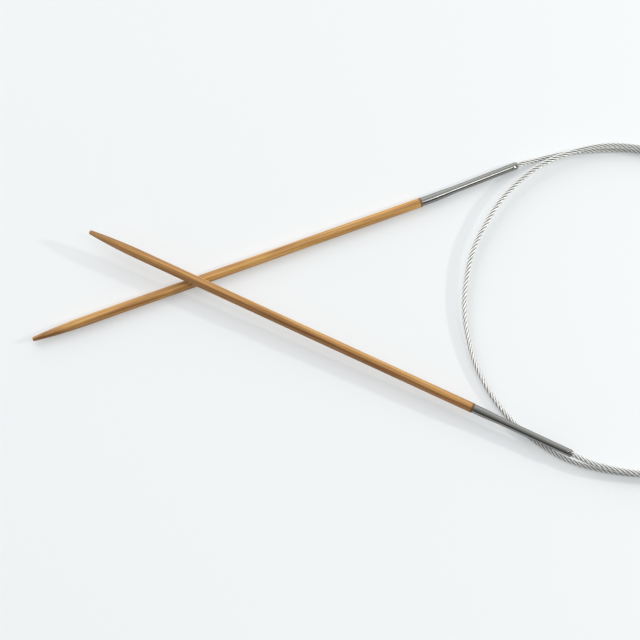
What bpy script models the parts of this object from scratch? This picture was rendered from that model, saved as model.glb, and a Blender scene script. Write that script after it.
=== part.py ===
"""A circular knitting needle: two bamboo needles joined by one steel wire rope.

Metres, +Z up. The part lies on a table at z = 0 with needle b crossed over needle a,
and the middle of the two needles' footprint is at the origin.
"""
import math

import bmesh
import bpy
from mathutils import Matrix, Vector

MM = 0.001

# Bamboo needles, two of one kind
NEEDLE_DIAMETER = 2.18 * MM
NEEDLE_LENGTH = 91.7 * MM
NEEDLE_SIDES = 24
TIP_TAPER_LENGTH = 13.5 * MM
TIP_FULLNESS = 2.2
TIP_STEPS = 10
TIP_END_DIAMETER = 0.9 * MM
TIP_END_ROUND = 0.25 * MM
REAR_EDGE_ROUND = 0.1 * MM
BORE_DEPTH = 11.5 * MM

# Steel ferrules, two of one kind: a thin tang glued into the needle's bored rear end, and outside it
# a collar that is swaged thinner on the rope
FERRULE_DIAMETER = 1.98 * MM
TANG_DIAMETER = 1.5 * MM
FERRULE_BORE = 1.2 * MM
SHOULDER_GAP = 0.02 * MM
SWAGED_DIAMETER = 1.68 * MM
SWAGED_LENGTH = 15.6 * MM
SWAGE_RUN = 5.5 * MM
SWAGE_STEPS = 4
FERRULE_LENGTH = 34.0 * MM
NOSE_ROUND_LENGTH = 0.5 * MM
NOSE_LIP = 0.03 * MM
CRIMP_FROM_NOSE = 0.95 * MM
CRIMP_WIDTH = 0.5 * MM
CRIMP_DEPTH = 0.04 * MM
LEAN_START = 1.0 * MM
LEAN_RUN = 3.0 * MM
LEAN_STEPS = 4

# Glue between a ferrule and its bore
GLUE_THICKNESS = 0.05 * MM
GLUE_CLEARANCE = 0.01 * MM
GLUE_INSET = 0.1 * MM

# Wire rope, with its ends swaged thinner inside the ferrules
CABLE_DIAMETER = 1.2 * MM
TAIL_LENGTH = 14.0 * MM
TAIL_CLEARANCE = 0.04 * MM
MOUTH_GAP = 0.3 * MM
FLOOR_GAP = 0.02 * MM
STACK_GAP = 0.43 * MM
POINT_SPACING = 5.2 * MM
CURVE_STEPS = 24
OWN_NEIGHBOURHOOD = 20.0 * MM
MERGE_DISTANCE = 0.0005 * MM

# Where the rope flexes as a needle swings, measured along the rope from the ferrule's nose
FLEX_FROM_NOSE_A = 40.0 * MM
FLEX_FROM_NOSE_B = 36.0 * MM
FLEX_GAP = 0.6 * MM

# How the two needles lie: nose of the ferrule in plan, heading towards the nose,
# depth that the ferrule was pushed into the bore, and the ferrule's lean from the needle's axis
NOSE_A_X = 50.77 * MM
NOSE_A_Y = 34.385 * MM
NOSE_B_X = 57.3 * MM
NOSE_B_Y = -34.22 * MM
HEADING_A = math.radians(20.9)
HEADING_B = math.radians(-25.9)
PUSH_A = 9.3 * MM
PUSH_B = 10.8 * MM
LEAN_A = math.radians(1.8)
LEAN_B = math.radians(-0.2)
CROSSING_CLEARANCE = 0.3 * MM

LOW = CABLE_DIAMETER / 2 + FLOOR_GAP
HIGH = LOW + CABLE_DIAMETER + STACK_GAP

# The rope's way over the table in millimetres, from the nose of ferrule a to the nose of ferrule b.
# It passes under itself near ferrule a, lies on the table round the first turn, goes under ferrule b,
# rises on the left, and comes over the first turn to ferrule b.
ROUTE_IN_MM = (
    (53.49, 35.27, 0.97),
    (57.98, 36.62, 0.78),
    (63.19, 37.88, 0.62),
    (69.52, 38.56, 0.62),
    (77.87, 38.71, 0.62),
    (85.33, 37.38, 0.62),
    (93.92, 34.04, 0.62),
    (102.67, 28.08, 0.62),
    (109.7, 19.6, 0.62),
    (114.2, 9.8, 0.62),
    (115.6, -0.2, 0.62),
    (114.2, -10.2, 0.62),
    (109.7, -20.0, 0.62),
    (102.6, -28.4, 0.62),
    (93.8, -34.2, 0.62),
    (83.79, -37.59, 0.62),
    (72.33, -38.5, 0.62),
    (64.67, -37.51, 0.62),
    (56.72, -35.11, 0.62),
    (49.55, -30.55, 0.62),
    (44.3, -25.36, 0.62),
    (40.57, -19.56, 0.66),
    (37.91, -13.23, 0.78),
    (36.59, -6.82, 0.95),
    (36.31, 0.1, 1.14),
    (37.22, 6.71, 1.34),
    (39.16, 13.46, 1.56),
    (42.4, 19.63, 1.78),
    (45.63, 24.55, 1.95),
    (50.16, 29.37, 2.1),
    (54.4, 32.89, 2.2),
    (58.95, 35.46, 2.25),
    (62.77, 37.02, 2.25),
    (67.09, 38.35, 2.25),
    (72.91, 39.2, 2.25),
    (80.02, 38.73, 2.25),
    (88.51, 36.94, 2.25),
    (97.8, 32.7, 2.25),
    (106.3, 26.0, 2.25),
    (112.9, 16.9, 2.25),
    (116.7, 5.9, 2.25),
    (116.8, -5.8, 2.25),
    (113.2, -16.9, 2.25),
    (106.8, -26.1, 2.25),
    (98.4, -32.9, 2.25),
    (89.9, -37.0, 2.25),
    (81.3, -39.07, 2.25),
    (71.92, -38.52, 2.25),
    (65.21, -37.31, 2.25),
    (60.12, -35.64, 2.25),
)

BAMBOO_COLOUR = (0.50, 0.27, 0.10, 1.0)
STEEL_COLOUR = (0.56, 0.56, 0.53, 1.0)
ROPE_COLOUR = (0.50, 0.50, 0.47, 1.0)
GLUE_COLOUR = (0.62, 0.55, 0.38, 1.0)

needle_radius = NEEDLE_DIAMETER / 2
ferrule_radius = FERRULE_DIAMETER / 2
tang_radius = TANG_DIAMETER / 2
swaged_radius = SWAGED_DIAMETER / 2
ferrule_bore_radius = FERRULE_BORE / 2
needle_bore_radius = tang_radius + GLUE_THICKNESS
tail_radius = ferrule_bore_radius - TAIL_CLEARANCE
cable_radius = CABLE_DIAMETER / 2
half_facet = math.pi / NEEDLE_SIDES
needle_rest_height = needle_radius * math.cos(half_facet)


def clear_scene():
    for old in list(bpy.data.objects):
        bpy.data.objects.remove(old, do_unlink=True)


def finish(part, colour, roughness, metallic):
    """Gives a part its own plain material."""
    material = bpy.data.materials.new(part.name + "_finish")
    material.use_nodes = True
    shader = material.node_tree.nodes["Principled BSDF"]
    shader.inputs["Base Color"].default_value = colour
    shader.inputs["Roughness"].default_value = roughness
    shader.inputs["Metallic"].default_value = metallic
    part.data.materials.append(material)


def add_object(name, data, parent):
    part = bpy.data.objects.new(name, data)
    bpy.context.scene.collection.objects.link(part)
    part.parent = parent
    return part


def turned(name, outline, is_tube, bend=None):
    """Spins an outline of (station along X, radius) points round the X axis.

    A tube's outline closes on itself, and a solid's starts and ends on the axis.
    The first corner stands half a facet off straight down, so a flat facet faces the table.
    """
    shape = bmesh.new()
    start_angle = half_facet - math.pi / 2
    corners = []
    for station, radius in outline:
        place = (station, radius * math.cos(start_angle), radius * math.sin(start_angle))
        corners.append(shape.verts.new(place))
    for first, second in zip(corners, corners[1:]):
        shape.edges.new((first, second))
    if is_tube:
        shape.edges.new((corners[-1], corners[0]))
    bmesh.ops.spin(
        shape,
        geom=shape.verts[:] + shape.edges[:],
        cent=(0, 0, 0),
        axis=(1, 0, 0),
        angle=2 * math.pi,
        steps=NEEDLE_SIDES,
        use_merge=True,
    )
    bmesh.ops.remove_doubles(shape, verts=shape.verts[:], dist=MERGE_DISTANCE)
    bmesh.ops.recalc_face_normals(shape, faces=shape.faces[:])
    if bend:
        for corner in shape.verts:
            corner.co = bend(corner.co)
    mesh = bpy.data.meshes.new(name)
    shape.to_mesh(mesh)
    shape.free()
    mesh.shade_smooth()
    mesh.set_sharp_from_angle(angle=math.radians(40))
    return mesh


def needle_outline():
    """A needle from its tip to the bottom of its bore; the rear face is at station 0."""
    tip = -NEEDLE_LENGTH
    end_radius = TIP_END_DIAMETER / 2

    def taper_radius(from_tip):
        remaining = 1 - from_tip / TIP_TAPER_LENGTH
        return end_radius + (needle_radius - end_radius) * (1 - remaining ** TIP_FULLNESS)

    round_top = taper_radius(TIP_END_ROUND)
    flat_radius = round_top - TIP_END_ROUND
    outline = [(tip, 0.0), (tip, flat_radius)]
    slant = math.sqrt(0.5)
    outline.append((tip + TIP_END_ROUND * (1 - slant), flat_radius + TIP_END_ROUND * slant))
    for step in range(TIP_STEPS + 1):
        share = (step / TIP_STEPS) ** 1.5
        from_tip = TIP_END_ROUND + (TIP_TAPER_LENGTH - TIP_END_ROUND) * share
        outline.append((tip + from_tip, taper_radius(from_tip)))
    outline.append((-REAR_EDGE_ROUND, needle_radius))
    outline.append((-REAR_EDGE_ROUND * (1 - slant), needle_radius - REAR_EDGE_ROUND * (1 - slant)))
    outline.append((0.0, needle_radius - REAR_EDGE_ROUND))
    outline.append((0.0, needle_bore_radius))
    outline.append((-BORE_DEPTH, needle_bore_radius))
    outline.append((-BORE_DEPTH, 0.0))
    return outline


def ferrule_outline(push):
    """A ferrule whose tang is pushed into a needle's bore, from its inner end at -push to its crimped nose."""
    nose = FERRULE_LENGTH - push
    bends = [LEAN_START + LEAN_RUN * step / LEAN_STEPS for step in range(LEAN_STEPS + 1)]
    outer = [(-push, tang_radius), (SHOULDER_GAP, tang_radius)]
    outer += [(station, ferrule_radius) for station in [SHOULDER_GAP] + bends]
    swage_start = nose - SWAGED_LENGTH - SWAGE_RUN
    for step in range(SWAGE_STEPS + 1):
        share = step / SWAGE_STEPS
        ease = share * share * (3 - 2 * share)
        radius = ferrule_radius + (swaged_radius - ferrule_radius) * ease
        outer.append((swage_start + SWAGE_RUN * share, radius))
    groove = nose - CRIMP_FROM_NOSE
    for share in (-0.5, -0.25, 0.0, 0.25, 0.5):
        depth = CRIMP_DEPTH * (0.5 + 0.5 * math.cos(2 * math.pi * share))
        outer.append((groove + CRIMP_WIDTH * share, swaged_radius - depth))
    drop = swaged_radius - ferrule_bore_radius - NOSE_LIP
    for angle in (0, 30, 60, 90):
        along = NOSE_ROUND_LENGTH * math.sin(math.radians(angle))
        down = drop * (1 - math.cos(math.radians(angle)))
        outer.append((nose - NOSE_ROUND_LENGTH + along, swaged_radius - down))
    inner = [(station, ferrule_bore_radius) for station in [nose] + bends[::-1] + [-push]]
    return outer + inner


def glue_outline(push):
    """The film of glue round the tang of a ferrule."""
    inner = tang_radius + GLUE_CLEARANCE
    outer = needle_bore_radius - GLUE_CLEARANCE
    return [(-push, outer), (-GLUE_INSET, outer), (-GLUE_INSET, inner), (-push, inner)]


def leaned(point, lean):
    """Bends a straight ferrule's point sideways, from the bend just outside the needle onwards."""
    past_start = point.x - LEAN_START
    if past_start <= 0 or lean == 0:
        return point.copy()
    in_bend = min(past_start, LEAN_RUN)
    angle = lean * in_bend / LEAN_RUN
    bend_radius = LEAN_RUN / lean
    beyond = past_start - in_bend
    along = LEAN_START + bend_radius * math.sin(angle) + beyond * math.cos(angle)
    across = bend_radius * (1 - math.cos(angle)) + beyond * math.sin(angle)
    return Vector((along - point.y * math.sin(angle), across + point.y * math.cos(angle), point.z))


def crossing_from_nose_b():
    """Distance in plan from nose b back along needle b to where it crosses needle a."""
    way_a = Vector((math.cos(HEADING_A), math.sin(HEADING_A)))
    way_b = Vector((math.cos(HEADING_B), math.sin(HEADING_B)))
    exposed_a = FERRULE_LENGTH - PUSH_A
    nose_in_a = leaned(Vector((exposed_a, 0, 0)), LEAN_A)
    turn_a = Matrix.Rotation(HEADING_A, 2)
    rear_a = Vector((NOSE_A_X, NOSE_A_Y)) - turn_a @ nose_in_a.xy
    apart = Vector((NOSE_B_X, NOSE_B_Y)) - rear_a
    return apart.cross(way_a) / way_b.cross(way_a)


def place_needle(nose, heading, pitch, push, lean):
    """World matrix of a needle whose ferrule's nose ends at the given point, and the ferrule's direction."""
    turn = Matrix.Rotation(heading, 4, "Z") @ Matrix.Rotation(pitch, 4, "Y")
    nose_in_needle = leaned(Vector((FERRULE_LENGTH - push, 0, 0)), lean)
    rear_face = nose - turn.to_3x3() @ nose_in_needle
    direction = turn.to_3x3() @ Vector((math.cos(lean), math.sin(lean), 0))
    return Matrix.Translation(rear_face) @ turn, direction


def smooth_curve(points):
    """A curve through all the points, with a parabola's tangent at each of them."""
    spans = [(second - first).length for first, second in zip(points, points[1:])]
    slopes = [(second - first) / span for first, second, span in zip(points, points[1:], spans)]
    tangents = [slopes[0]]
    for before, after, span_before, span_after in zip(slopes, slopes[1:], spans, spans[1:]):
        tangents.append((before * span_after + after * span_before) / (span_before + span_after))
    tangents.append(slopes[-1])
    curve = [points[0]]
    for index, span in enumerate(spans):
        for step in range(1, CURVE_STEPS + 1):
            t = step / CURVE_STEPS
            start_share = 2 * t ** 3 - 3 * t ** 2 + 1
            start_pull = (t ** 3 - 2 * t ** 2 + t) * span
            end_share = 3 * t ** 2 - 2 * t ** 3
            end_pull = (t ** 3 - t ** 2) * span
            curve.append(
                points[index] * start_share
                + tangents[index] * start_pull
                + points[index + 1] * end_share
                + tangents[index + 1] * end_pull
            )
    return curve


def lengths_along(curve):
    along = [0.0]
    for first, second in zip(curve, curve[1:]):
        along.append(along[-1] + (second - first).length)
    return along


def point_at(curve, along, distance):
    """The point of a curve at a distance along it."""
    for index in range(1, len(curve)):
        if along[index] >= distance:
            share = (distance - along[index - 1]) / (along[index] - along[index - 1])
            return curve[index - 1].lerp(curve[index], share)
    return curve[-1].copy()


def stretch(curve, along, start, end):
    """Evenly spaced points of a curve from one distance along it to another."""
    count = max(2, math.ceil((end - start) / POINT_SPACING))
    return [point_at(curve, along, start + (end - start) * step / count) for step in range(count + 1)]


def nearest_on_span(point, first, second):
    way = second - first
    share = max(0.0, min(1.0, (point - first).dot(way) / way.length_squared))
    return first + way * share


def least_gap(points):
    """Least clear distance of the rope to itself, leaving out what is close along the rope."""
    along = lengths_along(points)
    least = math.inf
    for index, point in enumerate(points):
        for other in range(1, len(points)):
            apart = min(abs(along[other] - along[index]), abs(along[other - 1] - along[index]))
            if apart > OWN_NEIGHBOURHOOD:
                nearest = nearest_on_span(point, points[other - 1], points[other])
                least = min(least, (nearest - point).length - CABLE_DIAMETER)
    return least


def add_rope(name, points, radii, parent):
    """A length of rope as a round tube with closed ends; radii are shares of the rope's own radius."""
    data = bpy.data.curves.new(name, "CURVE")
    data.dimensions = "3D"
    data.bevel_depth = cable_radius
    data.bevel_resolution = 2
    data.resolution_u = 1
    data.render_resolution_u = 0
    data.use_fill_caps = True
    line = data.splines.new("POLY")
    line.points.add(len(points) - 1)
    for spot, point, radius in zip(line.points, points, radii):
        spot.co = (*(point - parent.location), 1.0)
        spot.radius = radius
    part = add_object(name, data, parent)
    finish(part, ROPE_COLOUR, 0.32, 1.0)


def add_flex_point(name, place):
    """An empty on the axis that a needle swings about."""
    empty = add_object(name, None, None)
    empty.location = place
    return empty


def add_needle(letter, matrix, push, lean, parent):
    """A bamboo needle with its ferrule and the glue between them."""
    rest = Matrix.Translation(-parent.location) @ matrix
    bamboo = add_object("bamboo_needle_" + letter, turned("needle", needle_outline(), False), parent)
    finish(bamboo, BAMBOO_COLOUR, 0.42, 0.0)
    tube = turned("ferrule", ferrule_outline(push), True, lambda point: leaned(point, lean))
    ferrule = add_object("ferrule_" + letter, tube, parent)
    finish(ferrule, STEEL_COLOUR, 0.28, 1.0)
    glue = add_object("glue_sleeve_" + letter, turned("glue", glue_outline(push), True), parent)
    finish(glue, GLUE_COLOUR, 0.4, 0.0)
    for part in (bamboo, ferrule, glue):
        part.matrix_local = rest


def swaged_end(nose, direction):
    """Points of a rope's end from inside the ferrule to just outside its nose, and their radii."""
    places = (-TAIL_LENGTH, MOUTH_GAP / 3, MOUTH_GAP)
    points = [nose + direction * place for place in places]
    thin = tail_radius / cable_radius
    return points, [thin, thin, 1.0]


def build():
    clear_scene()
    rise = needle_rest_height + NEEDLE_DIAMETER + CROSSING_CLEARANCE - HIGH
    pitch_b = math.atan(rise / crossing_from_nose_b())
    nose_a = Vector((NOSE_A_X, NOSE_A_Y, needle_rest_height))
    nose_b = Vector((NOSE_B_X, NOSE_B_Y, HIGH))
    matrix_a, way_a = place_needle(nose_a, HEADING_A, 0.0, PUSH_A, LEAN_A)
    matrix_b, way_b = place_needle(nose_b, HEADING_B, pitch_b, PUSH_B, LEAN_B)

    route = [Vector(place) * MM for place in ROUTE_IN_MM]
    start = nose_a + way_a * (MOUTH_GAP + CABLE_DIAMETER)
    end = nose_b + way_b * (MOUTH_GAP + CABLE_DIAMETER)
    curve = [nose_a] + smooth_curve([start] + route + [end]) + [nose_b]
    along = lengths_along(curve)
    flex_a = FLEX_FROM_NOSE_A
    flex_b = along[-1] - FLEX_FROM_NOSE_B

    swing_a = add_flex_point("swing_a", point_at(curve, along, flex_a))
    swing_b = add_flex_point("swing_b", point_at(curve, along, flex_b))
    loop = add_flex_point("loop", Vector((0, 0, 0)))

    add_needle("a", matrix_a, PUSH_A, LEAN_A, swing_a)
    add_needle("b", matrix_b, PUSH_B, LEAN_B, swing_b)

    free_start = MOUTH_GAP + CABLE_DIAMETER
    end_a = stretch(curve, along, free_start, flex_a - FLEX_GAP / 2)
    middle = stretch(curve, along, flex_a + FLEX_GAP / 2, flex_b - FLEX_GAP / 2)
    end_b = stretch(curve, along, flex_b + FLEX_GAP / 2, along[-1] - free_start)
    tail_a, tail_radii_a = swaged_end(nose_a, way_a)
    tail_b, tail_radii_b = swaged_end(nose_b, way_b)
    add_rope("cable_end_a", tail_a + end_a, tail_radii_a + [1.0] * len(end_a), swing_a)
    add_rope("cable_loop", middle, [1.0] * len(middle), loop)
    add_rope("cable_end_b", end_b + tail_b[::-1], [1.0] * len(end_b) + tail_radii_b[::-1], swing_b)

    print("rope outside the ferrules %.1f mm" % (along[-1] / MM))
    print("least gap of the rope to itself %.2f mm" % (least_gap(end_a + middle + end_b) / MM))
    for empty in (swing_a, swing_b):
        print(empty.name, [round(value, 6) for value in empty.location])


build()
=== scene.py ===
"""Looks of a circular knitting needle: two bamboo needles, their ferrules and the wire rope between them.

Metres, +Z up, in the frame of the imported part: it lies on a table at z = 0.
"""

import math

import bmesh
import bpy
import numpy as np
from mathutils import Matrix, Vector


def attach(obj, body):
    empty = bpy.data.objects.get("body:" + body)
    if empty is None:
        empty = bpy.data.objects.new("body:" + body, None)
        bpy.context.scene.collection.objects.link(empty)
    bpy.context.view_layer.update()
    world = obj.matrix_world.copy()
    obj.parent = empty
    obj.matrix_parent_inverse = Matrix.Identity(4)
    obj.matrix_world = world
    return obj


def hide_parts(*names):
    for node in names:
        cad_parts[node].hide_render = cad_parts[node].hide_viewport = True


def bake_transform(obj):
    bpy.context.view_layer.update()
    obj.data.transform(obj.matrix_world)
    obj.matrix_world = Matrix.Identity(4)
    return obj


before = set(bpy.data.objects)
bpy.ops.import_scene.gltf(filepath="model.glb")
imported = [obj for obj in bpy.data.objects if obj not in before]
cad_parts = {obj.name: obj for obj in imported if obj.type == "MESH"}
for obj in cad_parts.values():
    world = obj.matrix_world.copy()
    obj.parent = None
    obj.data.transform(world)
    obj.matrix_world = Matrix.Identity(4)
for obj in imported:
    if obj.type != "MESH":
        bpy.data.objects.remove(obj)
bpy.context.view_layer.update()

MM = 0.001

# Meshes: corners of a solid that agree to this many decimals of a metre count as one
CORNER_DECIMALS = 7
MERGE_DISTANCE = 0.0002 * MM
TURNED_SHARP_ANGLE = math.radians(50)
ROPE_SHARP_ANGLE = math.radians(60)

# Bamboo needles
NEEDLE_RADIUS = 1.09 * MM
NEEDLE_LENGTH = 91.7 * MM
NEEDLE_SIDES = 64
TIP_TAPER_LENGTH = 13.5 * MM
TIP_FULLNESS = 2.2
TIP_STEPS = 36
TIP_STEP_CROWDING = 1.3
TIP_END_RADIUS = 0.45 * MM
TIP_END_ROUND = 0.25 * MM
TIP_END_STEPS = 6
REAR_EDGE_ROUND = 0.1 * MM
REAR_EDGE_STEPS = 4
BORE_RADIUS = 0.8 * MM
BORE_SHOWN = 2.0 * MM
BODY_STEPS = 46

# Ferrules
FERRULE_RADIUS = 0.99 * MM
TANG_RADIUS = 0.75 * MM
FERRULE_BORE_RADIUS = 0.6 * MM
SHOULDER_GAP = 0.02 * MM
SWAGED_RADIUS = 0.84 * MM
SWAGED_LENGTH = 15.6 * MM
SWAGE_RUN = 5.5 * MM
FERRULE_LENGTH = 34.0 * MM
FERRULE_SIDES = 96
COLLAR_STEPS = 60
NOSE_ROUND_LENGTH = 0.5 * MM
NOSE_ROUND_STEPS = 8
NOSE_FLAT_STEPS = 5
NOSE_LIP = 0.03 * MM
CRIMP_FROM_NOSE = 0.95 * MM
CRIMP_WIDTH = 0.5 * MM
CRIMP_DEPTH = 0.04 * MM
CRIMP_STEPS = 12
DIMPLE_FROM_NOSE = 0.7 * MM
DIMPLE_RADIUS = 0.38 * MM
DIMPLE_DEPTH = 0.1 * MM
DIMPLE_SIDE = Vector((0.0, -0.46, 0.888))
LEAN_START = 1.0 * MM
LEAN_RUN = 3.0 * MM
PUSH = {"a": 9.3 * MM, "b": 10.8 * MM}
LEAN = {"a": math.radians(1.8), "b": math.radians(-0.2)}

# Bamboo's looks: the front side of each needle is tinted with painted shade and painted light, which change
# from the tip to the rear, and the tip and the cut rear edge are browner. The offset in millimetres makes
# the grains differ.
FIBRE_TONES = (
    (0.20, (0.275, 0.122, 0.030)),
    (0.50, (0.510, 0.275, 0.079)),
    (0.80, (0.700, 0.418, 0.138)),
)
FINE_FIBRE_SHARE = 0.55
BROAD_FIBRE_SHARE = 0.45
GRAIN_OFFSET = {"a": (0, 0, 0), "b": (41.0, 7.3, 3.1)}
TONE_GAIN = {"a": (1.12, 1.12, 1.10), "b": (0.95, 0.91, 0.88)}
BLOTCH_GAIN = (0.93, 0.90, 0.86)
FLECK_FROM_TO = (0.76, 0.92)
FLECK_STRENGTH = 0.7
FLECK_COLOUR = (0.22, 0.095, 0.03)
PAINTED_FRONT_SHADING_FROM_TO = (-0.36 * MM, -0.50 * MM)
PAINTED_SHADING_EDGE_WANDER = 0.45 * MM
# Painted shade on needle b's front side and at needle a's tip; painted light at needle a's rear
PAINTED_FRONT_SHADING_TIP_REAR = {
    "a": ((0.84, 0.78, 0.80), (1.12, 1.14, 1.12)),
    "b": ((0.76, 0.70, 0.72), (0.62, 0.52, 0.52)),
}
TIP_DARKENED_LENGTH = 11.0 * MM
TIP_TINT = (0.68, 0.62, 0.59)
REAR_RING_FROM_TO = (-0.65 * MM, -0.35 * MM)
REAR_RING_STRENGTH = 0.85
REAR_RING_COLOUR = (0.13, 0.05, 0.016)

# Looks of the ferrules, the rope and the glue
FERRULE_TONES = ((0.2, (0.26, 0.26, 0.247)), (0.8, (0.33, 0.33, 0.314)))
FERRULE_EDGE_TINT = (0.5, 0.5, 0.5, 1.0)
WIRES_ROUND_STRAND = 6.0
WIRE_TWISTS_PER_MM = 0.32
# Painted shade: the wires' tone is darker between the wires than on their crowns
WIRE_TONES_SHADED_BETWEEN = ((0.0, (0.72, 0.727, 0.705)), (0.5, (0.80, 0.807, 0.785)))
# Painted shade: the inner sides of each strand, in the grooves between strands, are coloured dark
STRAND_GROOVE_SHADE_FROM_TO = (0.25, 0.36)
STRAND_GROOVE_PAINTED_SHADE = (0.14, 0.146, 0.132)
GLUE_TONES = ((0.0, (0.34, 0.22, 0.09)), (1.0, (0.46, 0.33, 0.16)))

# Wire rope: five strands laid right-handed round a core
ROPE_DIAMETER = 1.2 * MM
STRANDS = 5
STRAND_RADIUS = 0.213 * MM
STRAND_SIDES = 10
CORE_RADIUS = 0.21 * MM
LAY_LENGTH = 5.8 * MM
RINGS_PER_LAY = 24
MOUTH_GAP = 0.3 * MM
MOUTH_SHARE = 0.93
MOUTH_REACH = 1.6 * MM
FLEX_FROM_NOSE = {"a": 40.0 * MM, "b": 36.0 * MM}
FLEX_REACH = 14.0 * MM
CURVE_STEPS = 24
LEAST_PATH_POINTS = 30

# The rope's way over the table, from the nose of ferrule a to the nose of ferrule b, in metres
ROUTE = (
    (0.05349, 0.03527, 0.00097),
    (0.05798, 0.03662, 0.00078),
    (0.06319, 0.03788, 0.00062),
    (0.06952, 0.03856, 0.00062),
    (0.07787, 0.03871, 0.00062),
    (0.08533, 0.03738, 0.00062),
    (0.09392, 0.03404, 0.00062),
    (0.10267, 0.02808, 0.00062),
    (0.1097, 0.0196, 0.00062),
    (0.1142, 0.0098, 0.00062),
    (0.1156, -0.0002, 0.00062),
    (0.1142, -0.0102, 0.00062),
    (0.1097, -0.02, 0.00062),
    (0.1026, -0.0284, 0.00062),
    (0.0938, -0.0342, 0.00062),
    (0.08379, -0.03759, 0.00062),
    (0.07233, -0.0385, 0.00062),
    (0.06467, -0.03751, 0.00062),
    (0.05672, -0.03511, 0.00062),
    (0.04955, -0.03055, 0.00062),
    (0.0443, -0.02536, 0.00062),
    (0.04057, -0.01956, 0.00066),
    (0.03791, -0.01323, 0.00078),
    (0.03659, -0.00682, 0.00095),
    (0.03631, 0.0001, 0.00114),
    (0.03722, 0.00671, 0.00134),
    (0.03916, 0.01346, 0.00156),
    (0.0424, 0.01963, 0.00178),
    (0.04563, 0.02455, 0.00195),
    (0.05016, 0.02937, 0.0021),
    (0.0544, 0.03289, 0.0022),
    (0.05895, 0.03546, 0.00225),
    (0.06277, 0.03702, 0.00225),
    (0.06709, 0.03835, 0.00225),
    (0.07291, 0.0392, 0.00225),
    (0.08002, 0.03873, 0.00225),
    (0.08851, 0.03694, 0.00225),
    (0.0978, 0.0327, 0.00225),
    (0.1063, 0.026, 0.00225),
    (0.1129, 0.0169, 0.00225),
    (0.1167, 0.0059, 0.00225),
    (0.1168, -0.0058, 0.00225),
    (0.1132, -0.0169, 0.00225),
    (0.1068, -0.0261, 0.00225),
    (0.0984, -0.0329, 0.00225),
    (0.0899, -0.037, 0.00225),
    (0.0813, -0.03907, 0.00225),
    (0.07192, -0.03852, 0.00225),
    (0.06521, -0.03731, 0.00225),
    (0.06012, -0.03564, 0.00225),
)

# Camera: it looks down on the table from the front left and keeps the part's X level in the picture
LOOK_AT = Vector((4.23 * MM, -2.99 * MM, 0.0))
CAMERA_AZIMUTH = math.radians(-15.0)
CAMERA_ELEVATION = math.radians(70.0)
FIELD_OF_VIEW = math.radians(25.0)
PICTURE_WIDTH_AT_TARGET = 140.5 * MM

# Studio: the room's light is set by the direction it comes from
TABLE_COLOUR = (0.865, 0.893, 0.905, 1.0)
TABLE_LIFT = 0.3
TABLE_HALF_WIDTH = 6.0
ROOM_BRIGHT_SIDE = (0.10, 0.93, 0.35)
ROOM_SHADES = ((0.05, 0.08), (0.25, 0.165), (0.47, 0.41), (0.71, 0.68), (0.90, 1.03), (1.0, 1.45))
WALL_COLOUR = (1.35, 1.35, 1.37)
LEFT_WALL_FROM_TO = (-0.55, -0.75)
SKIRTING_FROM_TO = (0.0, 0.15)
LAMPS = (
    {
        "name": "window",
        "place": (-0.42, 0.50, 0.45),
        "aim": (0, 0, 0),
        "width": 0.5,
        "height": 0.5,
        "power": 1.7,
        "colour": (1, 1, 1),
    },
    {
        "name": "glint_lamp",
        "place": (0.28, -0.107, 0.418),
        "aim": (0.04, 0.03, 0),
        "width": 0.10,
        "height": 0.12,
        "power": 0.18,
        "colour": (1, 1, 1),
    },
    {
        "name": "low_lamp",
        "place": (0.60, 0.05, 0.25),
        "aim": (0, 0, 0),
        "width": 0.035,
        "height": 0.035,
        "power": 1.35,
        "colour": (1, 0.97, 0.92),
    },
)


# Needles and ferrules, turned round the X axis with the needle's rear face at the origin

def needle_frame(node_name):
    """Matrix of a needle: origin in the middle of its rear face, X along its axis towards the ferrule."""
    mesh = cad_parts[node_name].data
    corners = np.unique(np.round([vertex.co for vertex in mesh.vertices], CORNER_DECIMALS), axis=0)
    middle = corners.mean(axis=0)
    axis = np.linalg.svd(corners - middle, full_matrices=False)[2][0]
    if axis[0] < 0:
        axis = -axis
    reach = (corners - middle) @ axis
    along = Vector(axis)
    across = Vector((0, 0, 1)).cross(along).normalized()
    up = along.cross(across)
    turn = Matrix((along, across, up)).transposed().to_4x4()
    return Matrix.Translation(Vector(middle + axis * reach.max())) @ turn


def arc(centre_station, centre_radius, size, start_degrees, end_degrees, steps):
    """Outline points on an arc; 0 degrees points along +X and 90 degrees away from the axis."""
    points = []
    for step in range(steps + 1):
        angle = math.radians(start_degrees + (end_degrees - start_degrees) * step / steps)
        points.append((centre_station + size * math.cos(angle), centre_radius + size * math.sin(angle)))
    return points


def spin_outline(name, outline, sides, is_tube):
    """Mesh of an outline spun round the X axis."""
    shape = bmesh.new()
    corners = [shape.verts.new((station, radius, 0)) for station, radius in outline]
    for first, second in zip(corners, corners[1:]):
        shape.edges.new((first, second))
    if is_tube:
        shape.edges.new((corners[-1], corners[0]))
    bmesh.ops.spin(
        shape,
        geom=shape.verts[:] + shape.edges[:],
        cent=(0, 0, 0),
        axis=(1, 0, 0),
        angle=2 * math.pi,
        steps=sides,
        use_merge=True,
    )
    bmesh.ops.remove_doubles(shape, verts=shape.verts[:], dist=MERGE_DISTANCE)
    bmesh.ops.recalc_face_normals(shape, faces=shape.faces[:])
    mesh = bpy.data.meshes.new(name)
    shape.to_mesh(mesh)
    shape.free()
    mesh.shade_smooth()
    mesh.set_sharp_from_angle(angle=TURNED_SHARP_ANGLE)
    return mesh


def taper_radius(from_tip):
    """Radius of a needle at a distance from its tip."""
    remaining = 1 - min(1.0, from_tip / TIP_TAPER_LENGTH)
    return TIP_END_RADIUS + (NEEDLE_RADIUS - TIP_END_RADIUS) * (1 - remaining ** TIP_FULLNESS)


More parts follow.
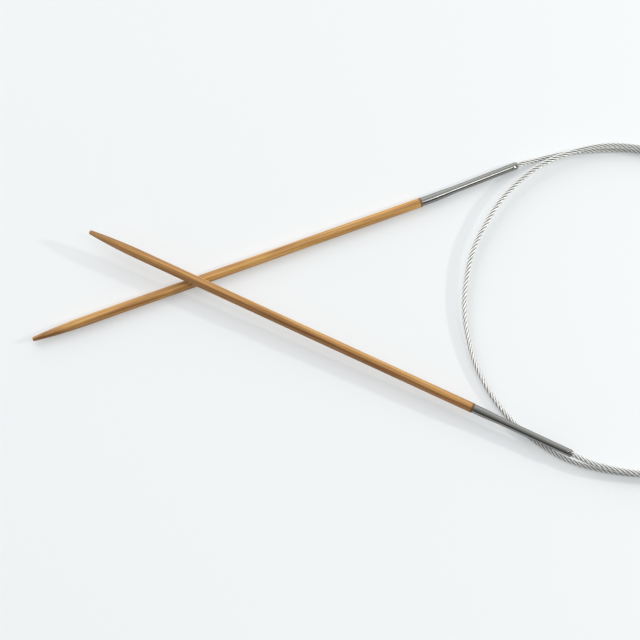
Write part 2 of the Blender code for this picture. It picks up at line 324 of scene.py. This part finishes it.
def needle_outline():
    """From the middle of the blunt tip back to a little way inside the bore."""
    tip = -NEEDLE_LENGTH
    shoulder = taper_radius(TIP_END_ROUND)
    outline = [(tip, 0.0)]
    outline += arc(tip + TIP_END_ROUND, shoulder - TIP_END_ROUND, TIP_END_ROUND, 180, 90, TIP_END_STEPS)
    for step in range(1, TIP_STEPS + 1):
        share = (step / TIP_STEPS) ** TIP_STEP_CROWDING
        from_tip = TIP_END_ROUND + (TIP_TAPER_LENGTH - TIP_END_ROUND) * share
        outline.append((tip + from_tip, taper_radius(from_tip)))
    body_start = tip + TIP_TAPER_LENGTH
    for step in range(1, BODY_STEPS):
        outline.append((body_start * (1 - step / BODY_STEPS), NEEDLE_RADIUS))
    rear_shoulder = NEEDLE_RADIUS - REAR_EDGE_ROUND
    outline += arc(-REAR_EDGE_ROUND, rear_shoulder, REAR_EDGE_ROUND, 90, 0, REAR_EDGE_STEPS)
    outline.append((0.0, BORE_RADIUS))
    outline.append((-BORE_SHOWN, BORE_RADIUS))
    outline.append((-BORE_SHOWN, 0.0))
    return outline


def leaned(point, lean):
    """Bends a straight ferrule's point sideways, from just outside the needle onwards."""
    past_start = point.x - LEAN_START
    if past_start <= 0:
        return point.copy()
    in_bend = min(past_start, LEAN_RUN)
    angle = lean * in_bend / LEAN_RUN
    bend_radius = LEAN_RUN / lean
    beyond = past_start - in_bend
    along = LEAN_START + bend_radius * math.sin(angle) + beyond * math.cos(angle)
    across = bend_radius * (1 - math.cos(angle)) + beyond * math.sin(angle)
    return Vector((along - point.y * math.sin(angle), across + point.y * math.cos(angle), point.z))


def eased(share):
    """A share kept between 0 and 1, with a gentle start and end."""
    kept = min(1.0, max(0.0, share))
    return kept * kept * (3 - 2 * kept)


def collar_radius(from_nose):
    """Outer radius of a ferrule outside its needle, which narrows where it was swaged on the rope."""
    widening = eased((from_nose - SWAGED_LENGTH) / SWAGE_RUN)
    return SWAGED_RADIUS + (FERRULE_RADIUS - SWAGED_RADIUS) * widening


def ferrule_outline(push):
    """A tang in the needle and a collar that narrows to the rope, with a crimp near its rolled-in nose."""
    nose = FERRULE_LENGTH - push
    crimp_start = nose - CRIMP_FROM_NOSE - CRIMP_WIDTH / 2
    outline = [(-push, TANG_RADIUS), (SHOULDER_GAP, TANG_RADIUS)]
    collar_length = crimp_start - SHOULDER_GAP
    for step in range(COLLAR_STEPS + 1):
        station = SHOULDER_GAP + collar_length * step / COLLAR_STEPS
        outline.append((station, collar_radius(nose - station)))
    for step in range(1, CRIMP_STEPS + 1):
        share = step / CRIMP_STEPS
        depth = CRIMP_DEPTH * (0.5 - 0.5 * math.cos(2 * math.pi * share))
        outline.append((crimp_start + CRIMP_WIDTH * share, SWAGED_RADIUS - depth))
    crimp_end = crimp_start + CRIMP_WIDTH
    flat_length = nose - NOSE_ROUND_LENGTH - crimp_end
    for step in range(1, NOSE_FLAT_STEPS):
        outline.append((crimp_end + flat_length * step / NOSE_FLAT_STEPS, SWAGED_RADIUS))
    drop = SWAGED_RADIUS - FERRULE_BORE_RADIUS - NOSE_LIP
    for step in range(NOSE_ROUND_STEPS + 1):
        angle = math.radians(90 * step / NOSE_ROUND_STEPS)
        station = nose - NOSE_ROUND_LENGTH * (1 - math.sin(angle))
        outline.append((station, SWAGED_RADIUS - drop * (1 - math.cos(angle))))
    for station in (nose - NOSE_LIP / 2, LEAN_START + LEAN_RUN, LEAN_START, -push):
        outline.append((station, FERRULE_BORE_RADIUS))
    return outline


def dimpled(point, push):
    """Dents a ferrule's outer wall near its nose, where a punch closed it on the rope."""
    mid_wall_radius = (SWAGED_RADIUS + FERRULE_BORE_RADIUS) / 2
    if math.hypot(point.y, point.z) < mid_wall_radius:
        return point.copy()
    station = FERRULE_LENGTH - push - DIMPLE_FROM_NOSE
    middle = Vector((station, 0, 0)) + DIMPLE_SIDE * SWAGED_RADIUS
    share = max(0.0, 1 - ((point - middle).length / DIMPLE_RADIUS) ** 2)
    return point - DIMPLE_SIDE * DIMPLE_DEPTH * share


def add_piece(name, mesh, material):
    """A mesh as a piece of the scene, in one material."""
    piece = bpy.data.objects.new(name, mesh)
    bpy.context.scene.collection.objects.link(piece)
    mesh.materials.append(material)
    return piece


def add_needle(letter, bamboo_look, ferrule_look, glue_look):
    """A needle's bamboo and ferrule, and the glue that stays as it was built."""
    body = "needle_" + letter
    place = needle_frame("bamboo_needle_" + letter)
    bamboo_mesh = spin_outline("bamboo_" + letter, needle_outline(), NEEDLE_SIDES, False)
    bamboo = add_piece("turned_bamboo_" + letter, bamboo_mesh, bamboo_look)
    tube_mesh = spin_outline("tube_" + letter, ferrule_outline(PUSH[letter]), FERRULE_SIDES, True)
    for vertex in tube_mesh.vertices:
        vertex.co = leaned(dimpled(vertex.co, PUSH[letter]), LEAN[letter])
    tube = add_piece("crimped_tube_" + letter, tube_mesh, ferrule_look)
    for piece, node, slot in ((bamboo, "bamboo_needle_", "bamboo"), (tube, "ferrule_", "ferrule_steel")):
        piece.matrix_world = place
        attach(piece, body)
        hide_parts(node + letter)
    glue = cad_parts["glue_sleeve_" + letter]
    glue.data.materials.clear()
    glue.data.materials.append(glue_look)
    nose = place @ leaned(Vector((FERRULE_LENGTH - PUSH[letter], 0, 0)), LEAN[letter])
    direction = place.to_3x3() @ Vector((math.cos(LEAN[letter]), math.sin(LEAN[letter]), 0))
    return nose, direction


# Wire rope

def smooth_curve(points):
    """A curve through all the points, with a parabola's tangent at each one between the ends."""
    spans = np.linalg.norm(np.diff(points, axis=0), axis=1)
    slopes = np.diff(points, axis=0) / spans[:, None]
    weighted = slopes[:-1] * spans[1:, None] + slopes[1:] * spans[:-1, None]
    tangents = np.vstack([slopes[:1], weighted / (spans[1:] + spans[:-1])[:, None], slopes[-1:]])
    t = (np.arange(CURVE_STEPS) / CURVE_STEPS)[:, None]
    pieces = []
    for index, span in enumerate(spans):
        pieces.append(
            points[index] * (2 * t ** 3 - 3 * t ** 2 + 1)
            + tangents[index] * (t ** 3 - 2 * t ** 2 + t) * span
            + points[index + 1] * (3 * t ** 2 - 2 * t ** 3)
            + tangents[index + 1] * (t ** 3 - t ** 2) * span
        )
    return np.vstack(pieces + [points[-1:]])


def distances_along(curve):
    """How far along a curve each of its points is."""
    return np.concatenate([[0.0], np.cumsum(np.linalg.norm(np.diff(curve, axis=0), axis=1))])


def points_at(curve, along, stations):
    """Places on a curve at given distances along it."""
    return np.stack([np.interp(stations, along, curve[:, axis]) for axis in range(3)], axis=1)


def unit(vectors):
    """The same directions with a length of 1."""
    return vectors / np.linalg.norm(vectors, axis=1)[:, None]


def tube_faces(rings, sides, first):
    """Quads of a tube of rings, and a closing face at each end."""
    faces = []
    for ring in range(rings - 1):
        low = first + ring * sides
        for side in range(sides):
            beside = (side + 1) % sides
            faces.append((low + side, low + beside, low + sides + beside, low + sides + side))
    faces.append(tuple(first + side for side in reversed(range(sides))))
    last = first + (rings - 1) * sides
    faces.append(tuple(last + side for side in range(sides)))
    return faces


def tube_corners(centres, outward, sideways, radii, sides):
    """Rings of corners round a line of centres; the first corner of each ring faces outward."""
    angles = 2 * math.pi * np.arange(sides) / sides
    turned_outward = outward[:, None, :] * np.cos(angles)[None, :, None]
    turned_sideways = sideways[:, None, :] * np.sin(angles)[None, :, None]
    spread = turned_outward + turned_sideways
    return (centres[:, None, :] + spread * radii[:, None, None]).reshape(-1, 3)


def rope_mesh(name, curve, along, start, end, thickness):
    """Strands and core of a stretch of rope; thickness gives its share of the full size at a station."""
    count = max(2, math.ceil((end - start) / LAY_LENGTH * RINGS_PER_LAY)) + 1
    stations = np.linspace(start, end, count)
    centres = points_at(curve, along, stations)
    tangents = unit(np.gradient(centres, axis=0))
    upward = unit(np.array([0.0, 0.0, 1.0]) - tangents * tangents[:, 2:3])
    sideways = np.cross(tangents, upward)
    shares = np.array([thickness(station) for station in stations])
    corners = [tube_corners(centres, upward, sideways, CORE_RADIUS * shares, STRAND_SIDES)]
    faces = tube_faces(count, STRAND_SIDES, 0)
    lay_radius = (ROPE_DIAMETER / 2 - STRAND_RADIUS) * shares
    for strand in range(STRANDS):
        angles = 2 * math.pi * (stations / LAY_LENGTH + strand / STRANDS)
        outward = upward * np.cos(angles)[:, None] + sideways * np.sin(angles)[:, None]
        line = centres + outward * lay_radius[:, None]
        ways = unit(np.gradient(line, axis=0))
        facing = unit(outward - ways * np.sum(outward * ways, axis=1)[:, None])
        beside = np.cross(ways, facing)
        faces += tube_faces(count, STRAND_SIDES, len(corners) * count * STRAND_SIDES)
        corners.append(tube_corners(line, facing, beside, STRAND_RADIUS * shares, STRAND_SIDES))
    mesh = bpy.data.meshes.new(name)
    mesh.from_pydata(np.vstack(corners).tolist(), [], faces)
    wrap_strands(mesh, count, stations)
    mesh.shade_smooth()
    mesh.set_sharp_from_angle(angle=ROPE_SHARP_ANGLE)
    return mesh


def wrap_strands(mesh, rings, stations):
    """UV map: U runs once round a strand from its outer side, V is millimetres along the rope."""
    tubes = STRANDS + 1
    side = np.arange(STRAND_SIDES) / STRAND_SIDES
    low = stations[:-1] / MM
    high = stations[1:] / MM
    around = np.stack([side, side + 1 / STRAND_SIDES, side + 1 / STRAND_SIDES, side], axis=1)
    quads = np.zeros((rings - 1, STRAND_SIDES, 4, 2))
    quads[:, :, :, 0] = around[None]
    quads[:, :, :2, 1] = low[:, None, None]
    quads[:, :, 2:, 1] = high[:, None, None]
    caps = np.zeros((2 * STRAND_SIDES, 2))
    one_tube = np.vstack([quads.reshape(-1, 2), caps])
    layer = mesh.uv_layers.new(name="strand_wrap")
    layer.data.foreach_set("uv", np.tile(one_tube, (tubes, 1)).astype(np.float32).ravel())


def add_rope(noses, directions, material):
    """The rope in three lengths: an end at each needle, and the loop between them."""
    lead = MOUTH_GAP + ROPE_DIAMETER
    first = np.array(noses["a"] + directions["a"] * lead)
    last = np.array(noses["b"] + directions["b"] * lead)
    free = smooth_curve(np.vstack([first, np.array(ROUTE), last]))
    inside_a = np.array(noses["a"] - directions["a"] * MOUTH_REACH)
    inside_b = np.array(noses["b"] - directions["b"] * MOUTH_REACH)
    curve = np.vstack([inside_a, free, inside_b])
    along = distances_along(curve)
    nose_a = MOUTH_REACH
    nose_b = along[-1] - MOUTH_REACH

    def thickness(station):
        from_mouth = min(station - nose_a, nose_b - station)
        return MOUTH_SHARE + (1 - MOUTH_SHARE) * eased(from_mouth / MOUTH_GAP)

    flex_a = nose_a + FLEX_FROM_NOSE["a"]
    flex_b = nose_b - FLEX_FROM_NOSE["b"]
    cut_a = flex_a + FLEX_REACH
    cut_b = flex_b - FLEX_REACH
    stretches = (
        ("rope_end_a", 0.0, cut_a, "cable_end_a"),
        ("rope_loop", cut_a, cut_b, "cable_loop"),
        ("rope_end_b", cut_b, along[-1], "cable_end_b"),
    )
    ropes = {}
    for name, start, end, node in stretches:
        mesh = rope_mesh(name, curve, along, start, end, thickness)
        rope = add_piece(name, mesh, material)
        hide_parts(node)
        path_count = max(LEAST_PATH_POINTS, int((end - start) / MM))
        path = points_at(curve, along, np.linspace(start, end, path_count))
        ropes[name] = rope
    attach(ropes["rope_loop"], "cable")
    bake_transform(ropes["rope_end_a"])
    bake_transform(ropes["rope_end_b"])


# Shader effects that more than one finish uses

def add_node(tree, kind, **settings):
    """A new node with its settings."""
    node = tree.nodes.new(kind)
    for name, value in settings.items():
        setattr(node, name, value)
    return node


def new_group(name, inputs, outputs):
    """An empty shader group with value sockets, and a vector socket for each input given as None."""
    group = bpy.data.node_groups.new(name, "ShaderNodeTree")
    for label, default in inputs:
        kind = "NodeSocketVector" if default is None else "NodeSocketFloat"
        socket = group.interface.new_socket(name=label, in_out="INPUT", socket_type=kind)
        if default is not None:
            socket.default_value = default
    for label in outputs:
        group.interface.new_socket(name=label, in_out="OUTPUT", socket_type="NodeSocketFloat")
    return group, group.nodes.new("NodeGroupInput"), group.nodes.new("NodeGroupOutput")


def lengthwise_streaks():
    """Streaks along the X axis of a piece, as in wood fibre or drawn metal. The place is in millimetres."""
    group, given, result = new_group(
        "lengthwise_streaks",
        (("Place", None), ("Streaks per mm", 4.0), ("Stretch", 40.0), ("Contrast", 1.0)),
        ("Streak",),
    )
    split = add_node(group, "ShaderNodeSeparateXYZ")
    shrink = add_node(group, "ShaderNodeMath", operation="DIVIDE")
    join = add_node(group, "ShaderNodeCombineXYZ")
    noise = add_node(group, "ShaderNodeTexNoise")
    noise.inputs["Detail"].default_value = 3.0
    noise.inputs["Roughness"].default_value = 0.6
    centre = add_node(group, "ShaderNodeMath", operation="SUBTRACT")
    centre.inputs[1].default_value = 0.5
    boost = add_node(group, "ShaderNodeMath", operation="MULTIPLY")
    settle = add_node(group, "ShaderNodeMath", operation="ADD", use_clamp=True)
    settle.inputs[1].default_value = 0.5
    link = group.links.new
    link(given.outputs["Place"], split.inputs[0])
    link(split.outputs["X"], shrink.inputs[0])
    link(given.outputs["Stretch"], shrink.inputs[1])
    link(shrink.outputs[0], join.inputs["X"])
    link(split.outputs["Y"], join.inputs["Y"])
    link(split.outputs["Z"], join.inputs["Z"])
    link(join.outputs[0], noise.inputs["Vector"])
    link(given.outputs["Streaks per mm"], noise.inputs["Scale"])
    link(noise.outputs["Fac"], centre.inputs[0])
    link(centre.outputs[0], boost.inputs[0])
    link(given.outputs["Contrast"], boost.inputs[1])
    link(boost.outputs[0], settle.inputs[0])
    link(settle.outputs[0], result.inputs["Streak"])
    return group


def handling_marks():
    """Soft blotches where fingers and cloths have been. The place is in millimetres."""
    group, given, result = new_group(
        "handling_marks",
        (("Place", None), ("Blotches per mm", 0.4), ("Clean", 0.0), ("Marked", 1.0)),
        ("Mark",),
    )
    noise = add_node(group, "ShaderNodeTexNoise")
    noise.inputs["Detail"].default_value = 4.0
    noise.inputs["Roughness"].default_value = 0.55
    spread = add_node(group, "ShaderNodeMapRange", interpolation_type="SMOOTHSTEP")
    spread.inputs["From Min"].default_value = 0.35
    spread.inputs["From Max"].default_value = 0.68
    link = group.links.new
    link(given.outputs["Place"], noise.inputs["Vector"])
    link(given.outputs["Blotches per mm"], noise.inputs["Scale"])
    link(noise.outputs["Fac"], spread.inputs["Value"])
    link(given.outputs["Clean"], spread.inputs["To Min"])
    link(given.outputs["Marked"], spread.inputs["To Max"])
    link(spread.outputs["Result"], result.inputs["Mark"])
    return group


def place_group(tree, group, place, **values):
    """A shared effect in a material, with its own values; a word's underscores stand for spaces."""
    node = add_node(tree, "ShaderNodeGroup", node_tree=group)
    tree.links.new(place, node.inputs["Place"])
    for name, value in values.items():
        node.inputs[name.replace("_", " ")].default_value = value
    return node


def millimetres(tree, offset):
    """A piece's own coordinates in millimetres, moved by an offset so that two pieces differ."""
    coordinates = add_node(tree, "ShaderNodeTexCoord")
    scaled = add_node(tree, "ShaderNodeVectorMath", operation="MULTIPLY_ADD")
    scaled.inputs[1].default_value = (1 / MM, 1 / MM, 1 / MM)
    scaled.inputs[2].default_value = offset
    tree.links.new(coordinates.outputs["Object"], scaled.inputs[0])
    return scaled.outputs[0]


def ramp(tree, value, *stops):
    """Colours along a value; each stop is a position and a colour."""
    node = add_node(tree, "ShaderNodeValToRGB")
    elements = node.color_ramp.elements
    while len(elements) < len(stops):
        elements.new(0.5)
    for element, (position, colour) in zip(elements, stops):
        element.position = position
        element.color = (*colour, 1.0)
    tree.links.new(value, node.inputs["Fac"])
    return node.outputs["Color"]


def band(tree, value, low, high):
    """A mask that rises from 0 to 1 as a value goes from low to high."""
    node = add_node(tree, "ShaderNodeMapRange", interpolation_type="SMOOTHSTEP")
    node.inputs["From Min"].default_value = low
    node.inputs["From Max"].default_value = high
    tree.links.new(value, node.inputs["Value"])
    return node.outputs["Result"]


def arithmetic(tree, operation, *values):
    """One sum on sockets or plain numbers."""
    node = add_node(tree, "ShaderNodeMath", operation=operation)
    for socket, value in zip(node.inputs, values):
        if isinstance(value, (int, float)):
            socket.default_value = value
        else:
            tree.links.new(value, socket)
    return node.outputs[0]


def axes_of(tree, vector):
    """The X, Y and Z of a vector socket."""
    node = add_node(tree, "ShaderNodeSeparateXYZ")
    tree.links.new(vector, node.inputs[0])
    return node.outputs


def mixed(tree, mask, first, second, blend_type="MIX"):
    """Two colours mixed by a mask; a colour is a socket or three numbers."""
    colour_a_socket = 6
    colour_b_socket = 7
    colour_result_socket = 2
    node = add_node(tree, "ShaderNodeMix", data_type="RGBA", blend_type=blend_type)
    if isinstance(mask, (int, float)):
        node.inputs["Factor"].default_value = mask
    else:
        tree.links.new(mask, node.inputs["Factor"])
    for index, colour in ((colour_a_socket, first), (colour_b_socket, second)):
        socket = node.inputs[index]
        if isinstance(colour, tuple):
            socket.default_value = (*colour, 1.0)
        else:
            tree.links.new(colour, socket)
    return node.outputs[colour_result_socket]


def bumped(tree, shader, height, strength, distance):
    """Gives a shader the bumps of a height."""
    node = add_node(tree, "ShaderNodeBump")
    node.inputs["Strength"].default_value = strength
    node.inputs["Distance"].default_value = distance
    tree.links.new(height, node.inputs["Height"])
    tree.links.new(node.outputs["Normal"], shader.inputs["Normal"])


# Finishes

def new_material(name):
    """A material, its node tree and its Principled shader."""
    material = bpy.data.materials.new(name)
    material.use_nodes = True
    tree = material.node_tree
    return material, tree, tree.nodes["Principled BSDF"]


def bamboo_finish(letter, streaks, marks):
    """Golden carbonised bamboo in satin varnish: fine fibres, dark bundles, browner tip and rear edge."""
    material, tree, shader = new_material("bamboo_" + letter)
    place = millimetres(tree, GRAIN_OFFSET[letter])
    fine = place_group(tree, streaks, place, Streaks_per_mm=2.4, Stretch=60.0, Contrast=3.0)
    broad = place_group(tree, streaks, place, Streaks_per_mm=0.8, Stretch=45.0, Contrast=1.8)
    bundles = place_group(tree, streaks, place, Streaks_per_mm=2.8, Stretch=28.0, Contrast=1.8)
    blotch = place_group(tree, marks, place, Blotches_per_mm=0.12)
    broad_part = arithmetic(tree, "MULTIPLY", broad.outputs[0], BROAD_FIBRE_SHARE)
    fibre = arithmetic(tree, "MULTIPLY_ADD", fine.outputs[0], FINE_FIBRE_SHARE, broad_part)
    tone = ramp(tree, fibre, *FIBRE_TONES)
    plain_gain = TONE_GAIN[letter]
    blotch_gain = tuple(blotched * plain for blotched, plain in zip(BLOTCH_GAIN, plain_gain))
    gain = mixed(tree, blotch.outputs[0], blotch_gain, plain_gain)
    toned = mixed(tree, 1.0, tone, gain, "MULTIPLY")
    fleck = band(tree, bundles.outputs[0], *FLECK_FROM_TO)
    flecked = mixed(tree, arithmetic(tree, "MULTIPLY", fleck, FLECK_STRENGTH), toned, FLECK_COLOUR)
    own_place = axes_of(tree, add_node(tree, "ShaderNodeTexCoord").outputs["Object"])
    # Painted shade and painted light: a band on the front side, with a wandering edge, is tinted darker or
    # lighter from the tip to the rear
    off_middle = arithmetic(tree, "SUBTRACT", broad.outputs[0], 0.5)
    wander = arithmetic(tree, "MULTIPLY", off_middle, PAINTED_SHADING_EDGE_WANDER)
    front = band(tree, arithmetic(tree, "ADD", own_place["Y"], wander), *PAINTED_FRONT_SHADING_FROM_TO)
    from_tip = band(tree, own_place["X"], -NEEDLE_LENGTH, 0.0)
    front_painted_shading = mixed(tree, from_tip, *PAINTED_FRONT_SHADING_TIP_REAR[letter])
    front_shaded = mixed(tree, front, flecked, mixed(tree, 1.0, flecked, front_painted_shading, "MULTIPLY"))
    tip = band(tree, own_place["X"], TIP_DARKENED_LENGTH - NEEDLE_LENGTH, -NEEDLE_LENGTH)
    tip_darkened = mixed(tree, tip, front_shaded, mixed(tree, 1.0, front_shaded, TIP_TINT, "MULTIPLY"))
    rear = band(tree, own_place["X"], *REAR_RING_FROM_TO)
    colour = mixed(tree, arithmetic(tree, "MULTIPLY", rear, REAR_RING_STRENGTH), tip_darkened, REAR_RING_COLOUR)
    tree.links.new(colour, shader.inputs["Base Color"])
    rough = place_group(tree, marks, place, Blotches_per_mm=0.8, Clean=0.46, Marked=0.6)
    tree.links.new(rough.outputs[0], shader.inputs["Roughness"])
    shader.inputs["Coat Weight"].default_value = 0.06
    shader.inputs["Coat Roughness"].default_value = 0.3
    bumped(tree, shader, fibre, strength=0.35, distance=0.02 * MM)
    return material


def ferrule_finish(streaks, marks):
    """Drawn steel tube, polished, with faint lines along it and dull handling marks."""
    material, tree, shader = new_material("ferrule_steel")
    place = millimetres(tree, (0, 0, 0))
    lines = place_group(tree, streaks, place, Streaks_per_mm=9.0, Stretch=160.0, Contrast=1.4)
    dull = place_group(tree, marks, place, Blotches_per_mm=0.5, Clean=0.09, Marked=0.15)
    colour = ramp(tree, lines.outputs[0], *FERRULE_TONES)
    tree.links.new(colour, shader.inputs["Base Color"])
    tree.links.new(dull.outputs[0], shader.inputs["Roughness"])
    shader.inputs["Metallic"].default_value = 1.0
    shader.inputs["Specular Tint"].default_value = FERRULE_EDGE_TINT
    bumped(tree, shader, lines.outputs[0], strength=0.1, distance=0.01 * MM)
    return material


def rope_finish(marks):
    """Bare steel strands: fine wires twisted in each, with painted shade between the wires and darker
    painted shade in the grooves between strands.
    """
    material, tree, shader = new_material("rope_steel")
    wrap = axes_of(tree, add_node(tree, "ShaderNodeUVMap", uv_map="strand_wrap").outputs["UV"])
    around = arithmetic(tree, "MULTIPLY", wrap["X"], WIRES_ROUND_STRAND)
    twist = arithmetic(tree, "MULTIPLY", wrap["Y"], WIRE_TWISTS_PER_MM * WIRES_ROUND_STRAND)
    phase = arithmetic(tree, "MULTIPLY", arithmetic(tree, "ADD", around, twist), math.pi)
    crown = arithmetic(tree, "ABSOLUTE", arithmetic(tree, "SINE", phase))
    from_inner = arithmetic(tree, "ABSOLUTE", arithmetic(tree, "SUBTRACT", wrap["X"], 0.5))
    outer = band(tree, from_inner, *STRAND_GROOVE_SHADE_FROM_TO)
    place = millimetres(tree, (0, 0, 0))
    dull = place_group(tree, marks, place, Blotches_per_mm=0.5, Clean=0.36, Marked=0.46)
    # Painted shade between the wires, lighter on their crowns
    wire = ramp(tree, crown, *WIRE_TONES_SHADED_BETWEEN)
    # Painted shade: the grooves between strands are coloured dark
    colour = mixed(tree, outer, STRAND_GROOVE_PAINTED_SHADE, wire)
    tree.links.new(colour, shader.inputs["Base Color"])
    tree.links.new(dull.outputs[0], shader.inputs["Roughness"])
    shader.inputs["Metallic"].default_value = 0.55
    bumped(tree, shader, crown, strength=0.08, distance=0.01 * MM)
    return material


def glue_finish(marks):
    """Set amber glue in the gap round a ferrule."""
    material, tree, shader = new_material("set_glue")
    place = millimetres(tree, (0, 0, 0))
    cloud = place_group(tree, marks, place, Blotches_per_mm=1.2)
    colour = ramp(tree, cloud.outputs[0], *GLUE_TONES)
    tree.links.new(colour, shader.inputs["Base Color"])
    shader.inputs["Roughness"].default_value = 0.35
    return material


def table_finish():
    """Plain white table, lifted a little where it is seen or mirrored, so that its shadows stay pale."""
    material, tree, shader = new_material("white_table")
    shader.inputs["Base Color"].default_value = TABLE_COLOUR
    shader.inputs["Roughness"].default_value = 0.6
    shader.inputs["Specular IOR Level"].default_value = 0.1
    rays = add_node(tree, "ShaderNodeLightPath").outputs
    seen = rays["Is Camera Ray"]
    for kind in ("Is Glossy Ray", "Is Transmission Ray"):
        seen = arithmetic(tree, "MAXIMUM", seen, rays[kind])
    glow = add_node(tree, "ShaderNodeEmission")
    glow.inputs["Color"].default_value = TABLE_COLOUR
    lifted = add_node(tree, "ShaderNodeMixShader")
    tree.links.new(arithmetic(tree, "MULTIPLY", seen, TABLE_LIFT), lifted.inputs[0])
    tree.links.new(shader.outputs[0], lifted.inputs[1])
    tree.links.new(glow.outputs[0], lifted.inputs[2])
    tree.links.new(lifted.outputs[0], tree.nodes["Material Output"].inputs["Surface"])
    return material


# Table, lights and camera

def add_camera():
    """A camera at the set angle, rolled so that the part's X axis is level in the picture."""
    back = Vector((
        math.sin(CAMERA_AZIMUTH) * math.cos(CAMERA_ELEVATION),
        -math.cos(CAMERA_AZIMUTH) * math.cos(CAMERA_ELEVATION),
        math.sin(CAMERA_ELEVATION),
    ))
    level = Vector((math.cos(CAMERA_AZIMUTH), math.sin(CAMERA_AZIMUTH), 0))
    lift = back.cross(level)
    seen_x = Vector((level.x, lift.x)).normalized()
    right = level * seen_x.x + lift * seen_x.y
    up = lift * seen_x.x - level * seen_x.y
    distance = PICTURE_WIDTH_AT_TARGET / 2 / math.tan(FIELD_OF_VIEW / 2)
    data = bpy.data.cameras.new("camera")
    data.angle = FIELD_OF_VIEW
    data.clip_start = 0.01
    data.clip_end = 10.0
    camera = bpy.data.objects.new("camera", data)
    bpy.context.scene.collection.objects.link(camera)
    turn = Matrix((right, up, back)).transposed().to_4x4()
    camera.matrix_world = Matrix.Translation(LOOK_AT + back * distance) @ turn
    bpy.context.scene.camera = camera


def add_table():
    """A wide flat table to lie on."""
    mesh = bpy.data.meshes.new("table_top")
    half = TABLE_HALF_WIDTH
    corners = [(-half, -half, 0), (half, -half, 0), (half, half, 0), (-half, half, 0)]
    mesh.from_pydata(corners, [], [(0, 1, 2, 3)])
    table = bpy.data.objects.new("table_top", mesh)
    bpy.context.scene.collection.objects.link(table)
    mesh.materials.append(table_finish())


def add_area_light(name, place, aim, width, height, power, colour):
    """A rectangular lamp that faces its aim."""
    data = bpy.data.lights.new(name, "AREA")
    data.shape = "RECTANGLE"
    data.size = width
    data.size_y = height
    data.energy = power
    data.color = colour
    light = bpy.data.objects.new(name, data)
    bpy.context.scene.collection.objects.link(light)
    light.location = place
    light.rotation_euler = (Vector(aim) - Vector(place)).to_track_quat("-Z", "Y").to_euler()


def add_studio():
    """A room that darkens from the back to the front, with a pale wall at the needles' tips."""
    world = bpy.data.worlds.new("studio")
    bpy.context.scene.world = world
    world.use_nodes = True
    tree = world.node_tree
    background = tree.nodes["Background"]
    direction = add_node(tree, "ShaderNodeTexCoord").outputs["Generated"]
    axes = axes_of(tree, direction)
    towards = add_node(tree, "ShaderNodeVectorMath", operation="DOT_PRODUCT")
    towards.inputs[1].default_value = ROOM_BRIGHT_SIDE
    tree.links.new(direction, towards.inputs[0])
    half_towards = arithmetic(tree, "MULTIPLY", towards.outputs["Value"], 0.5)
    stops = [(place, (shade, shade, shade)) for place, shade in ROOM_SHADES]
    room = ramp(tree, arithmetic(tree, "ADD", half_towards, 0.5), *stops)
    left = band(tree, axes["X"], *LEFT_WALL_FROM_TO)
    above_skirting = band(tree, axes["Z"], *SKIRTING_FROM_TO)
    wall = arithmetic(tree, "MULTIPLY", left, above_skirting)
    tree.links.new(mixed(tree, wall, room, WALL_COLOUR), background.inputs["Color"])
    background.inputs["Strength"].default_value = 1.0


def main():
    streaks = lengthwise_streaks()
    marks = handling_marks()
    ferrule_look = ferrule_finish(streaks, marks)
    glue_look = glue_finish(marks)
    noses = {}
    directions = {}
    for letter in ("a", "b"):
        bamboo_look = bamboo_finish(letter, streaks, marks)
        noses[letter], directions[letter] = add_needle(letter, bamboo_look, ferrule_look, glue_look)
    add_rope(noses, directions, rope_finish(marks))
    add_table()
    add_studio()
    for lamp in LAMPS:
        add_area_light(**lamp)
    add_camera()
    bpy.context.scene.view_settings.view_transform = "Standard"
    # Without a prefilter the denoiser keeps the strands' fine pattern
    bpy.context.scene.cycles.denoising_prefilter = "NONE"


main()
